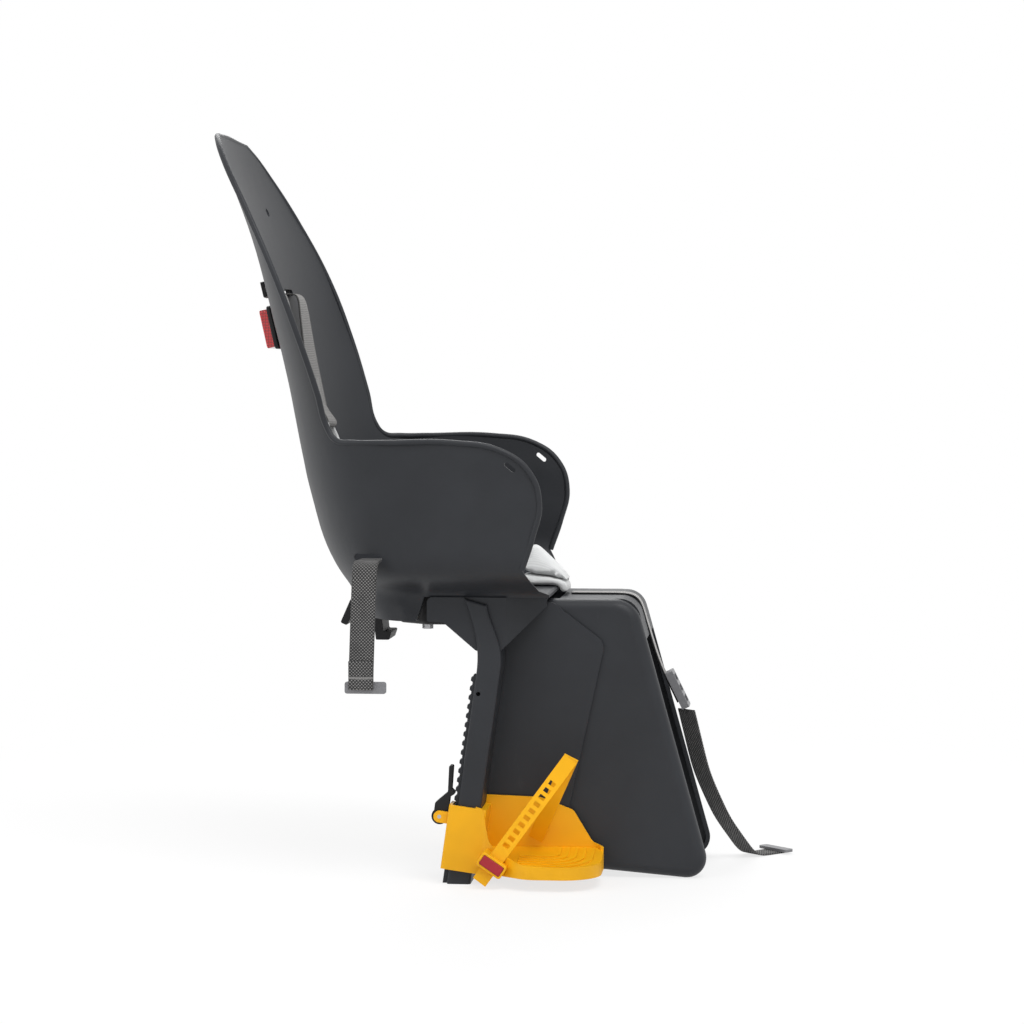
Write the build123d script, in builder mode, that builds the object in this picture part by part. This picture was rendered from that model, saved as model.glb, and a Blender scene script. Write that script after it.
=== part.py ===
"""Child seat for the back of a bicycle: moulded bucket, leg guards, sliding footrests and harness.

Millimetres, +X forward, +Y to the child's left, +Z up, standing on the floor at Z = 0.
The right-hand pieces are modelled at negative Y and mirrored to make the left-hand ones.
"""

import os
from math import atan2, cos, radians, sin

from build123d import *

os.makedirs("parts", exist_ok=True)

# Seat shell
seat_width = 356.0
shell_wall = 2.8
shell_top = 769.0
crown_width = 150.0
pan_top = 297.0
pan_floor = 4.0
shell_bottom = 268.0
pan_front = 54.0
skirt_front = -74.0
armrest_height = 451.0
armrest_front = 47.5
open_front = 120.0

# Slots and holes in the shell
strap_width = 25.0
strap_thickness = 1.6
slot_width = 32.0
slot_height = 7.0
shoulder_slot_height = 608.0
shoulder_spacing = 108.0
waist_slot_height = 334.0
waist_slot_x = -127.0
waist_slot_depth = 9.0
vent_diameter = 9.0
vent_drop = 74.0
vent_spacing = 132.0
wing_slot_x = 19.0
wing_slot_z = 427.0
wing_slot_length = 13.0
wing_slot_width = 4.5
wing_slot_turn = -40.0

# Base and carrier fixing
base_rear = -112.0
base_front = 24.0
base_width = 130.0
base_depth = 34.0
base_pocket = 110.0
base_bore_wall = 18.4
base_hollow = 56.0
rod_diameter = 10.0
rod_clearance = 0.2
rod_spacing = 70.0
rod_height = 273.0
latch_width = 46.0
latch_gap = 0.6
latch_pin_diameter = 6.0
latch_pivot_x = -139.0
latch_pivot_z = 278.0
latch_ear = 6.0
latch_window = 8.0
pin_clearance = 0.05

# Screws
screw_diameter = 6.0
screw_clearance = 0.25
screw_head_diameter = 13.0
screw_head_height = 3.5
nut_width = 10.0
nut_height = 5.0
base_screw_rows = 84.0
base_screw_lines = 100.0
guard_screw_spacing = 62.0
guard_screw_centre = -17.0
guard_screw_out = 104.0

# Leg guards
guard_wall = 4.2
panel_out = 84.0
panel_step = 3.5
guard_flange = 18.0
guard_round = 11.0
guard_top = 288.0
guard_toe_x = 212.0
deck_rear = 60.0
deck_gap = 1.0
post_out = 133.0
post_width = 24.0
post_foot_x = -38.2
post_straight = 222.0
post_lean = 8.0
shoulder_out = 128.0
shoulder_rear = -71.0
shoulder_front = 48.0
wedge_rear = 10.0
nose_x = 138.6
nose_foot_x = 150.0
nose_foot_z = 246.9

# Rack on the post
rack_out = 126.0
rack_thickness = 13.0
rack_reach = 5.0
tooth_pitch = 9.5
tooth_depth = 2.0
rack_start = 33.5
rack_teeth = 21
peep_hole = 4.5
peep_height = 178.0

# Footrests
slide_gap = 0.4
sleeve_wall = 3.0
sleeve_low = 14.0
sleeve_high = 80.0
tray_inner = 86.5
tray_outer = 172.0
tray_toe = 108.0
tray_low = 12.5
tray_wall = 3.0
tray_floor_inner = 33.0
tray_fall = 10.0
tread_count = 5
tread_height = 1.6
tread_width = 3.0
clasp_length = 29.0
clasp_height = 15.5
clasp_turn = 34.0
clasp_x = -1.0
clasp_z = 25.0
clasp_face = 165.0
button_length = 24.0
button_height = 10.4
button_gap = 0.35
button_depth = 3.4
button_proud = 0.8
button_travel = 2.0
foot_strap_width = 15.4
foot_strap_thickness = 1.8
foot_strap_gap = 0.4
foot_strap_out = 157.5
strap_apex_x = 77.0
strap_apex_out = 138.0
strap_apex_z = 131.0
ladder_holes = 10
ladder_pitch = 8.6
ladder_hole = 4.6
ladder_start = 24.0
foot_strap_tail = 22.0

# Latch lever on each footrest
lever_width = 13.0
lever_pin_diameter = 4.0
lever_pivot_u = -29.5
lever_pivot_v = 65.0
lever_hub = 8.4
ear_thickness = 3.0
ear_gap = 0.4

# Reflector
reflector_width = 88.0
reflector_height = 46.0
lens_width = 80.0
lens_height = 41.0
lens_depth = 11.0
reflector_drop = 38.5
reflector_gap = 0.5
reflector_depth = 5.0
lens_seat = 2.5

# Harness hardware
ring_width = 34.0
ring_height = 30.0
ring_bar = 5.0
ring_drop = 140.0
ring_standoff = 12.0
ring_lean = 24.0
plate_width = 42.0
plate_height = 12.0
plate_thickness = 3.0
anchor_bar = 3.5
anchor_gap = 0.8
waist_tuck = 60.0
waist_show = 13.0
waist_end = 205.0
lap_run = 158.0
crotch_pad_width = 58.0
buckle_length = 42.0
buckle_width = 33.0
buckle_thickness = 8.0
buckle_x = 176.0
buckle_z = 186.0
buckle_lean = 26.0
tail_turn = 45.0
tail_reach = 134.4
soft_gap = 0.3

# Values worked out from the sizes above
half_seat = seat_width / 2
pan_low = pan_top - pan_floor
post_half = post_width / 2
rod_bore = rod_diameter / 2 + rod_clearance
shoulder_y = shoulder_spacing / 2
vent_height = shell_top - vent_drop
ring_z = shoulder_slot_height - ring_drop
reflector_z = shoulder_slot_height - reflector_drop
waist_inside = half_seat - waist_tuck
waist_outside = half_seat - waist_show
slope = radians(post_lean)
along = Vector(sin(slope), 0, cos(slope))
across = Vector(cos(slope), 0, -sin(slope))
post_foot = Vector(post_foot_x, 0, 0)
panel_in = panel_out - guard_flange
rack_edge = -post_half - rack_reach
sleeve_out = post_out + slide_gap + sleeve_wall + 0.6
sleeve_rear = rack_edge - slide_gap - sleeve_wall
sleeve_front = post_half + slide_gap + 2 * sleeve_wall
rack_in = rack_out - rack_thickness
lip_in = rack_in - slide_gap - sleeve_wall
tray_rear = post_foot_x + 18.2
tray_width = tray_outer - tray_inner
floor_fall = tray_fall / tray_width
lip_top = tray_floor_inner - tray_fall + 2.5
button_pocket = button_depth - button_proud + button_travel + 0.4
tooth_rest = rack_start + 6 * tooth_pitch
strap_foot = Vector(clasp_x, -foot_strap_out, clasp_z)
strap_top = Vector(strap_apex_x, -strap_apex_out, strap_apex_z)
strap_run = (strap_top - strap_foot).normalized()
strap_side = strap_run.cross(Vector(0, -1, 0)).normalized()
strap_plane = Plane(strap_foot, x_dir=strap_side, z_dir=strap_side.cross(strap_run))
latch_out = latch_width / 2 + latch_gap + latch_ear / 2
base_middle = (base_front + base_rear) / 2 + 6
base_screw_places = [
    (base_middle + x * base_screw_rows / 2, y * base_screw_lines / 2)
    for x in (-1, 1)
    for y in (-1, 1)
]
guard_screw_places = [
    (guard_screw_centre + x * guard_screw_spacing / 2, y * guard_screw_out)
    for x in (-1, 1)
    for y in (-1, 1)
]
screw_places = [(x, y, pan_low) for x, y in base_screw_places + guard_screw_places]

# Bucket levels: height, rearmost point of the outside, half width, depth of the rounded back
bucket_levels = [
    (shell_bottom - 6, -138, half_seat - 68, 58),
    (pan_low, -164, half_seat - 52, 76),
    (pan_top + 10, -172.5, half_seat - 30, 86),
    (pan_top + 24, -181, half_seat - 11, 94),
    (350, -194.5, half_seat - 4.5, 101),
    (375, -202, half_seat - 2.8, 102),
    (400, -208.5, half_seat - 1.5, 102),
    (425, -214, half_seat - 0.2, 101),
    (armrest_height, -219, half_seat + 1.5, 98),
    (513, -230, half_seat + 8, 86),
    (565, -241, half_seat + 18, 78),
    (625, -254.5, half_seat + 29, 73),
    (700, -278, half_seat + 37, 70),
    (745, -294, half_seat + 40, 69),
    (shell_top + 21, -310, half_seat + 42, 69),
]


def bucket_at(height):
    """Rearmost point, half width and depth of the bucket's outside at one height."""
    for low, high in zip(bucket_levels, bucket_levels[1:]):
        if height <= high[0]:
            break
    share = (height - low[0]) / (high[0] - low[0])
    return [a + (b - a) * share for a, b in zip(low[1:], high[1:])]


def bucket_section(height, inset, front):
    """Closed horizontal section: a rounded back with straight sides running forward."""
    back, half, depth = bucket_at(height)
    side = half - inset
    turn = back + depth
    with BuildSketch(Plane.XY.offset(height)) as section:
        with BuildLine():
            EllipticalCenterArc((turn, 0), depth - inset, side, start_angle=90, arc_size=180)
            Polyline((turn, side), (front, side), (front, -side), (turn, -side))
        make_face()
    return section.sketch


def bucket_sections(inset, front):
    """Sections of the bucket from bottom to top, drawn in from the outside by inset."""
    return [bucket_section(level[0], inset, front) for level in bucket_levels]


def rim_outline():
    """Side view of what the mould keeps: backrest edge, armrest and rounded wing front."""
    with BuildSketch(Plane.XZ) as outline:
        with BuildLine():
            edge = Spline(
                (-291, shell_top + 12), (-247, 693), (-217, 614), (-194, 554), (-170, 474)
            )
            corner = Spline(
                edge @ 1, (-146, armrest_height), tangents=(edge % 1, (1, 0))
            )
            top = Line(corner @ 1, (-36, armrest_height))
            wing = Spline(
                top @ 1,
                (armrest_front, armrest_height - 53),
                (30, pan_top + 27),
                tangents=((1, 0), (-0.3, -1)),
            )
            Polyline(
                wing @ 1,
                (pan_front - 10, pan_top + 3),
                (pan_front, pan_top - 1),
                (pan_front, pan_low),
                (skirt_front, pan_low),
                (skirt_front - 8, shell_bottom),
                (-340, shell_bottom),
                (-340, shell_top + 12),
                edge @ 0,
            )
        make_face()
    return outline.sketch


def crown_outline():
    """Rear view of what the mould keeps: a flat crown with long rounded shoulders."""
    half = half_seat + 8
    with BuildSketch(Plane.YZ) as crown:
        with BuildLine():
            foot = Line((half, 200), (half, 470))
            shoulder = Spline(
                foot @ 1,
                (half - 4, 560),
                (half - 11, 618),
                (half - 36, 693),
                (half - 59, 731),
                (crown_width / 2, shell_top),
                tangents=((0, 1), (-1, 0.35)),
            )
            Polyline(shoulder @ 1, (0, shell_top), (0, 200), foot @ 0)
        make_face()
        mirror(about=Plane.YZ)
    return crown.sketch


with BuildPart() as shell_envelope:
    extrude(rim_outline(), amount=seat_width, both=True)
    extrude(crown_outline(), amount=600, both=True, mode=Mode.INTERSECT)

with BuildPart() as bucket_form:
    loft(bucket_sections(0, open_front))

with BuildPart() as bucket_hollow:
    loft(bucket_sections(shell_wall, open_front + 10))
    with Locations((0, 0, pan_top)):
        Box(
            2 * seat_width,
            2 * seat_width,
            seat_width,
            align=(Align.CENTER, Align.CENTER, Align.MAX),
            mode=Mode.SUBTRACT,
        )


def back_outside(height, y):
    """X of the outside face of the backrest at one height and distance from the middle."""
    line = Axis((-400, y, height), (1, 0, 0))
    return min(point.X for point, normal in bucket_form.part.find_intersection_points(line))


def back_inside(height, y):
    """X of the inside face of the backrest at one height and distance from the middle."""
    return back_outside(height, y) + shell_wall


with BuildPart() as seat_shell:
    add(bucket_form.part)
    add(shell_envelope.part, mode=Mode.INTERSECT)
    add(bucket_hollow.part, mode=Mode.SUBTRACT)
    under = pan_front - shell_wall
    loft(
        [bucket_section(height, shell_wall, under) for height in (shell_bottom - 6, pan_low)],
        mode=Mode.SUBTRACT,
    )
    with BuildSketch(Plane.YZ):
        with Locations((-shoulder_y, shoulder_slot_height), (shoulder_y, shoulder_slot_height)):
            SlotOverall(slot_width, slot_height)
        with Locations((-vent_spacing / 2, vent_height), (vent_spacing / 2, vent_height)):
            Circle(vent_diameter / 2)
    extrude(amount=-400, mode=Mode.SUBTRACT)
    with BuildSketch(Plane.XZ):
        with Locations((waist_slot_x, waist_slot_height)):
            SlotOverall(slot_width, waist_slot_depth)
        with Locations((wing_slot_x, wing_slot_z)):
            SlotOverall(wing_slot_length, wing_slot_width, rotation=wing_slot_turn)
    extrude(amount=seat_width, both=True, mode=Mode.SUBTRACT)
    with Locations(*screw_places):
        Cylinder(screw_diameter / 2 + screw_clearance, 60, mode=Mode.SUBTRACT)
    with Locations((latch_pivot_x, 0, latch_pivot_z + latch_ear + latch_window)):
        Box(
            60,
            rod_spacing + 2 * (rod_bore + latch_window),
            60,
            align=(Align.CENTER, Align.CENTER, Align.MAX),
            mode=Mode.SUBTRACT,
        )

# Base under the pan, with two bores for the carrier's rods and a latch at the rear
with BuildPart() as mounting_base:
    with BuildSketch(Plane.XY.offset(pan_low)):
        with BuildLine():
            FilletPolyline(
                (base_front, -base_width / 2),
                (base_front, base_width / 2),
                (base_rear + 30, base_width / 2),
                (base_rear, base_width / 2 - 25),
                (base_rear, 25 - base_width / 2),
                (base_rear + 30, -base_width / 2),
                radius=8,
                close=True,
            )
        make_face()
    extrude(amount=-base_depth)
    fillet(faces().sort_by(Axis.Z)[0].edges(), 5)
    with Locations((0, -rod_spacing / 2, rod_height), (0, rod_spacing / 2, rod_height)):
        Cylinder(rod_bore, 400, rotation=(0, 90, 0), mode=Mode.SUBTRACT)
    with Locations((base_middle, 0, pan_low - base_depth)):
        Box(base_pocket, rod_spacing - base_bore_wall, base_hollow, mode=Mode.SUBTRACT)
    with Locations((latch_pivot_x, 0, latch_pivot_z)):
        with Locations((0, -latch_out, 0), (0, latch_out, 0)):
            Cylinder(latch_ear, latch_ear, rotation=(90, 0, 0))
        with Locations((0, -latch_out, 0), (0, latch_out, 0)):
            Box(
                base_rear + latch_ear - latch_pivot_x,
                latch_ear,
                2 * latch_ear,
                align=(Align.MIN, Align.CENTER, Align.CENTER),
            )
        Cylinder(
            latch_pin_diameter / 2 + pin_clearance,
            2 * base_width,
            rotation=(90, 0, 0),
            mode=Mode.SUBTRACT,
        )
    with Locations(*screw_places):
        Cylinder(screw_diameter / 2 + screw_clearance, 200, mode=Mode.SUBTRACT)

# Rocking latch: a handle that hangs behind the base and a hook that grips the carrier
with BuildPart() as mount_latch:
    with BuildSketch(Plane.XZ):
        with Locations((latch_pivot_x, latch_pivot_z)):
            Circle(latch_ear)
        with BuildLine():
            FilletPolyline(
                (latch_pivot_x - 2, latch_pivot_z + 3),
                (latch_pivot_x - 27, latch_pivot_z + 4),
                (latch_pivot_x - 38, latch_pivot_z - 21),
                (latch_pivot_x - 31, latch_pivot_z - 24),
                (latch_pivot_x - 21, latch_pivot_z - 5),
                (latch_pivot_x + 2, latch_pivot_z - 5),
                radius=2,
                close=True,
            )
        make_face()
        with BuildLine():
            FilletPolyline(
                (latch_pivot_x - 5, latch_pivot_z),
                (latch_pivot_x + 5, latch_pivot_z),
                (latch_pivot_x + 8, latch_pivot_z - 30),
                (latch_pivot_x + 17, latch_pivot_z - 30),
                (latch_pivot_x + 14, latch_pivot_z - 39),
                (latch_pivot_x, latch_pivot_z - 39),
                radius=1.5,
                close=True,
            )
        make_face()
    extrude(amount=latch_width / 2, both=True)
    with Locations((latch_pivot_x, 0, latch_pivot_z)):
        Cylinder(
            latch_pin_diameter / 2 + pin_clearance,
            2 * latch_width,
            rotation=(90, 0, 0),
            mode=Mode.SUBTRACT,
        )

with BuildPart() as latch_pin:
    with Locations((latch_pivot_x, 0, latch_pivot_z)):
        Cylinder(latch_pin_diameter / 2, 2 * latch_out + latch_ear, rotation=(90, 0, 0))


def screw_set(places, grip):
    """Round-headed screws through the pan, each with its nut, as one group of solids."""
    for place in places:
        with Locations((place[0], place[1], pan_top)):
            Cylinder(
                screw_head_diameter / 2,
                screw_head_height,
                align=(Align.CENTER, Align.CENTER, Align.MIN),
            )
            Cylinder(
                screw_diameter / 2,
                grip + nut_height,
                align=(Align.CENTER, Align.CENTER, Align.MAX),
            )
        with BuildSketch(Plane.XY.offset(pan_top - grip)) as nut:
            with Locations((place[0], place[1])):
                RegularPolygon(nut_width / 2, 6, major_radius=False)
        extrude(nut.sketch, amount=-nut_height)
    fillet(faces().group_by(Axis.Z)[-1].edges(), screw_head_height / 3)


with BuildPart() as base_screws:
    screw_set(base_screw_places, pan_floor + base_depth)

with BuildPart() as guard_screws:
    screw_set(guard_screw_places, pan_floor + guard_wall)


def side_plane(out):
    """Upright plane on the right-hand side, facing outward, at Y = -out."""
    return Plane.XZ.offset(out)


def slide_plane(out):
    """Upright plane whose vertical axis runs along the post."""
    return Plane(post_foot + Vector(0, -out, 0), x_dir=across, z_dir=(0, -1, 0))


def slide_section(distance):
    """Plane square to the post at one distance up it."""
    return Plane(post_foot + along * distance, x_dir=across, z_dir=along)


def rounded_outline(plane, *corners):
    """Closed outline through corners given as x, y and rounding radius."""
    with BuildSketch(plane) as outline:
        with BuildLine():
            Polyline(*[(x, y) for x, y, radius in corners], close=True)
        make_face()
        for x, y, radius in corners:
            if radius:
                fillet(vertices().sort_by_distance((x, y))[0], radius)
    return outline.sketch


def guard_panel(plane, inset):
    """Outline of the leg guard's panel, drawn in by inset."""
    return rounded_outline(
        plane,
        (post_foot_x + 6 + inset, 7 + inset, 0),
        (108, 7 + inset, 0),
        (190, inset, 0),
        (guard_toe_x + 6.5 - 1.4 * inset, inset, 20 - inset),
        (nose_x - 0.75 * inset, guard_top - inset, 30 - inset),
        (inset - 6, guard_top - inset, 0),
    )


def foot_well(plane, inset):
    """Outline of the raised part of the panel behind its crease."""
    return rounded_outline(
        plane,
        (post_foot_x + 8 + inset, 9 + inset, 0),
        (57 - inset, 9 + inset, 4),
        (108 - inset, 244 - inset, 14),
        (54, guard_top - 3 - inset, 8),
        (inset - 4, guard_top - 3 - inset, 0),
    )


def post_outline(plane, inset):
    """Outline of the post, straight and then bending back to the shell."""
    half = post_half - inset
    with BuildSketch(plane) as post:
        with BuildLine():
            front = Line((half, inset - 8), (half, post_straight))
            bend = Spline(
                front @ 1,
                (half - 23, 287 - inset),
                tangents=((0, 1), (-0.3, 1)),
            )
            rear = Line((-half, inset - 8), (-half, post_straight - 6))
            back = Spline(
                rear @ 1,
                (-half - 23, 290.5 - inset),
                tangents=((0, 1), (-0.5, 1)),
            )
            Line(bend @ 1, back @ 1)
            Line(front @ 0, rear @ 0)
        make_face()
    return post.sketch


def shoulder_outline(plane, inset):
    """Outline of the plate that carries the guard under the pan."""
    return rounded_outline(
        plane,
        (shoulder_rear + inset, pan_low - inset, 6),
        (shoulder_rear + inset, 268 + inset, 2),
        (-54, 267 + inset, 0),
        (-20 + inset, 238 + inset, 8),
        (4, 238 + inset, 0),
        (shoulder_front - inset, 281, 0),
        (shoulder_front - inset, pan_low - inset, 0),
    )


def wedge_plan(inset):
    """Plan of what is cut away in front of the shoulder's slanted face, moved back by inset."""
    back = 0.73 * inset
    side = 0.68 * inset
    return rounded_outline(
        Plane.XY.offset(200),
        (wedge_rear - back, -post_out - 9, 0),
        (wedge_rear - back, side - shoulder_out, 0),
        (shoulder_front + 2 - back, side - panel_out - 1, 0),
        (shoulder_front + 20, side - panel_out - 1, 0),
        (shoulder_front + 20, -post_out - 9, 0),
    )


with BuildPart() as shoulder_hollow:
    extrude(
        shoulder_outline(side_plane(panel_in), guard_wall),
        amount=shoulder_out - panel_in - guard_wall,
    )
    extrude(wedge_plan(guard_wall), amount=120, mode=Mode.SUBTRACT)

panel_face = panel_out - panel_step
with BuildPart() as right_leg_guard:
    extrude(guard_panel(side_plane(panel_in), 0), amount=panel_face - panel_in)
    rounded = faces().sort_by(Axis.Y)[0].edges().filter_by(lambda edge: edge.center().X > 40)
    fillet(rounded, guard_round)
    extrude(foot_well(side_plane(panel_in), 0), amount=guard_flange)
    extrude(shoulder_outline(side_plane(panel_in), 0), amount=shoulder_out - panel_in)
    extrude(wedge_plan(0), amount=120, mode=Mode.SUBTRACT)
    extrude(post_outline(slide_plane(panel_in), 0), amount=post_out - panel_in)
    fillet(faces().sort_by(Axis.Y)[0].edges().sort_by(Axis.Z)[1:], 3)
    extrude(
        guard_panel(side_plane(panel_in), guard_wall),
        amount=panel_face - panel_in - guard_wall,
        mode=Mode.SUBTRACT,
    )
    extrude(
        foot_well(side_plane(panel_in), guard_wall),
        amount=guard_flange - guard_wall,
        mode=Mode.SUBTRACT,
    )
    add(shoulder_hollow.part, mode=Mode.SUBTRACT)
    extrude(
        post_outline(slide_plane(panel_in), guard_wall),
        amount=post_out - panel_in - guard_wall,
        mode=Mode.SUBTRACT,
    )
    with BuildSketch(slide_plane(rack_out - rack_thickness)):
        with Locations((rack_edge, -10)):
            Rectangle(rack_reach + 1, post_straight + 2, align=(Align.MIN, Align.MIN))
        with Locations([(rack_edge, rack_start + i * tooth_pitch) for i in range(rack_teeth)]):
            Polygon(
                (0, -tooth_pitch * 0.32),
                (0, tooth_pitch * 0.32),
                (tooth_depth, tooth_pitch * 0.2),
                (tooth_depth, -tooth_pitch * 0.2),
                align=None,
                mode=Mode.SUBTRACT,
            )
    extrude(amount=rack_thickness)
    with BuildSketch(slide_plane(post_out - 2 * guard_wall)):
        with Locations((-post_half + 5, peep_height + 18)):
            Circle(peep_hole / 2)
    extrude(amount=3 * guard_wall, mode=Mode.SUBTRACT)
    with BuildSketch(side_plane(deck_gap / 2)):
        with BuildLine():
            FilletPolyline(
                (deck_rear, guard_top),
                (nose_x, guard_top),
                (nose_foot_x, nose_foot_z),
                radius=22,
            )
            offset(amount=guard_wall, side=Side.RIGHT)
        make_face()
    extrude(amount=panel_in)
    with Locations((0, -100, 0)):
        Box(
            500,
            300,
            40,
            align=(Align.CENTER, Align.CENTER, Align.MAX),
            mode=Mode.SUBTRACT,
        )
    with Locations(*screw_places):
        Cylinder(screw_diameter / 2 + screw_clearance, 60, mode=Mode.SUBTRACT)

# Footrest: a sleeve on the post and a sloping tray with a tall inner wall
def tray_plan(inset):
    """Plan of the tray, drawn in by inset."""
    return rounded_outline(
        Plane.XY,
        (tray_rear + inset, -inset - tray_inner, 0),
        (tray_toe - inset, -inset - tray_inner, 14 - inset),
        (tray_toe - inset, inset - tray_outer, 40 - inset),
        (34, inset - tray_outer, 30),
        (-12, inset - sleeve_out, 8),
        (tray_rear + inset, inset - sleeve_out, 0),
    )


def tread_plan(inset):
    """Plan of one tread round the toe, drawn in by inset from the outer side."""
    return rounded_outline(
        Plane.XY,
        (tray_rear + 44, 14 - tray_inner, 0),
        (tray_toe - inset, 14 - tray_inner, 0),
        (tray_toe - inset, inset - tray_outer, max(40 - 0.7 * inset, 8)),
        (tray_rear + 44, inset - tray_outer, 0),
    )


def tray_slope(rise):
    """Cross-section under the sloping floor, raised by rise."""
    return rounded_outline(
        Plane.YZ.offset(tray_rear - 10),
        (20 - tray_inner, tray_low - 40, 0),
        (20 - tray_inner, tray_floor_inner + 20 * floor_fall + rise, 0),
        (-tray_outer - 20, tray_floor_inner - (tray_width + 20) * floor_fall + rise, 0),
        (-tray_outer - 20, tray_low - 40, 0),
    )


def tray_block(inset, rise, low):
    """Solid under the tray's floor, drawn in from its outline and raised to the floor."""
    with BuildPart() as block:
        extrude(tray_slope(rise), amount=tray_toe - tray_rear + 20)
        extrude(Plane.XY.offset(low) * tray_plan(inset), amount=120, mode=Mode.INTERSECT)
    return block.part


def wall_ring(outline, near, far):
    """Upright wall round the tray, kept under a side-view outline between two distances out."""
    with BuildPart() as ring:
        extrude(tray_plan(0), amount=120)
        extrude(tray_plan(tray_wall), amount=120, mode=Mode.SUBTRACT)
        extrude(outline, amount=far - near, mode=Mode.INTERSECT)
    return ring.part


tray_body = tray_block(0, 0, tray_low)
tray_hollow = tray_block(tray_wall, -tray_wall, tray_low - 20)
lip_outline = rounded_outline(
    side_plane(tray_inner + 12),
    (tray_rear - 1, tray_low, 0),
    (tray_rear - 1, sleeve_high, 0),
    (tray_rear + 7, sleeve_high - 2, 3),
    (-6, 42, 16),
    (26, 27, 30),
    (60, lip_top, 0),
    (tray_toe + 5, lip_top, 0),
    (tray_toe + 5, tray_low, 0),
)
inner_outline = rounded_outline(
    side_plane(tray_inner - 2),
    (tray_rear, tray_low, 0),
    (tray_rear, 86, 0),
    (42, 84, 30),
    (76, 71, 8),
    (tray_toe - 12, 38, 10),
    (tray_toe + 2, 34, 0),
    (tray_toe + 2, tray_low, 0),
)
lip = wall_ring(lip_outline, tray_inner + 12, tray_outer + 10)
inner_wall = wall_ring(inner_outline, tray_inner - 2, tray_inner + 12)
tread_rings = []
for index in range(tread_count):
    inset = tray_wall + 6 + 8.5 * index
    with BuildPart() as tread:
        extrude(tray_slope(tread_height), amount=tray_toe - tray_rear + 20)
        extrude(tray_slope(-1), amount=tray_toe - tray_rear + 20, mode=Mode.SUBTRACT)
        extrude(tread_plan(inset), amount=120, mode=Mode.INTERSECT)
        extrude(tread_plan(inset + tread_width), amount=120, mode=Mode.SUBTRACT)
        with Locations((0, -tray_inner - 8, 0)):
            Box(
                tray_toe,
                tray_width,
                200,
                align=(Align.MIN, Align.MAX, Align.CENTER),
                mode=Mode.INTERSECT,
            )
    tread_rings.append(tread.part)

clasp_plane = Plane(
    (clasp_x, 0, clasp_z),
    x_dir=(cos(radians(clasp_turn)), 0, -sin(radians(clasp_turn))),
    z_dir=(0, -1, 0),
)
with BuildPart() as clasp_block:
    with BuildSketch(clasp_plane.offset(sleeve_out - 3)):
        RectangleRounded(clasp_length, clasp_height, 3)
    extrude(amount=clasp_face - sleeve_out + 3)
    fillet(faces().sort_by(Axis.Y)[0].edges(), 1)
    extrude(tray_plan(tray_wall / 2), amount=120, mode=Mode.SUBTRACT)
    with BuildSketch(clasp_plane.offset(clasp_face - button_pocket)):
        RectangleRounded(button_length + 2 * button_gap, button_height + 2 * button_gap, 1.6)
    extrude(amount=2 * button_pocket, mode=Mode.SUBTRACT)

with BuildPart() as right_footrest:
    with BuildSketch(slide_section(sleeve_low)):
        for low_u, low_y, high_u, high_y in (
            (sleeve_rear, -sleeve_out, sleeve_front, -post_out - slide_gap),
            (sleeve_rear, -sleeve_out, rack_edge - slide_gap, -lip_in),
            (sleeve_rear, -rack_in + slide_gap, -post_half - slide_gap, -lip_in),
            (post_half + slide_gap, -sleeve_out, sleeve_front, -tray_inner),
        ):
            with Locations((low_u, low_y)):
                Rectangle(high_u - low_u, high_y - low_y, align=(Align.MIN, Align.MIN))
    extrude(amount=sleeve_high - sleeve_low)
    sleeve_corners = edges().filter_by(Axis(post_foot, along)).group_by(Axis.Y)[0]
    fillet(sleeve_corners, 2.2)
    add(tray_body)
    add(tray_hollow, mode=Mode.SUBTRACT)
    add(lip)
    add(inner_wall)
    add(clasp_block.part)
    for tread_ring in tread_rings:
        add(tread_ring)
    with BuildSketch(slide_section(-sleeve_high)):
        with Locations((-post_half - slide_gap, -post_out - slide_gap)):
            Rectangle(post_width + 2 * slide_gap, post_out, align=(Align.MIN, Align.MIN))
    extrude(amount=3 * sleeve_high, mode=Mode.SUBTRACT)
    for ear_out in (rack_out + ear_gap, rack_in - ear_gap - ear_thickness):
        with BuildSketch(slide_plane(ear_out)):
            with Locations((lever_pivot_u, lever_pivot_v)):
                Circle(2 * ear_thickness)
            with Locations((sleeve_rear + 1, lever_pivot_v)):
                Rectangle(
                    sleeve_rear + 1 - lever_pivot_u,
                    4 * ear_thickness,
                    align=(Align.MAX, Align.CENTER),
                )
        extrude(amount=ear_thickness)
    with BuildSketch(slide_plane(0)):
        with Locations((lever_pivot_u, lever_pivot_v)):
            Circle(lever_pin_diameter / 2 + pin_clearance)
    extrude(amount=200, mode=Mode.SUBTRACT)
    with BuildSketch(strap_plane):
        Rectangle(2 * foot_strap_gap + foot_strap_width, 80)
    extrude(
        amount=foot_strap_thickness / 2 + foot_strap_gap, both=True, mode=Mode.SUBTRACT
    )

with BuildPart() as right_release_button:
    with BuildSketch(clasp_plane.offset(clasp_face + button_proud)):
        RectangleRounded(button_length, button_height, 1.4)
    extrude(amount=-button_depth)
    fillet(faces().sort_by(Axis.Y)[0].edges(), 0.6)

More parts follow.
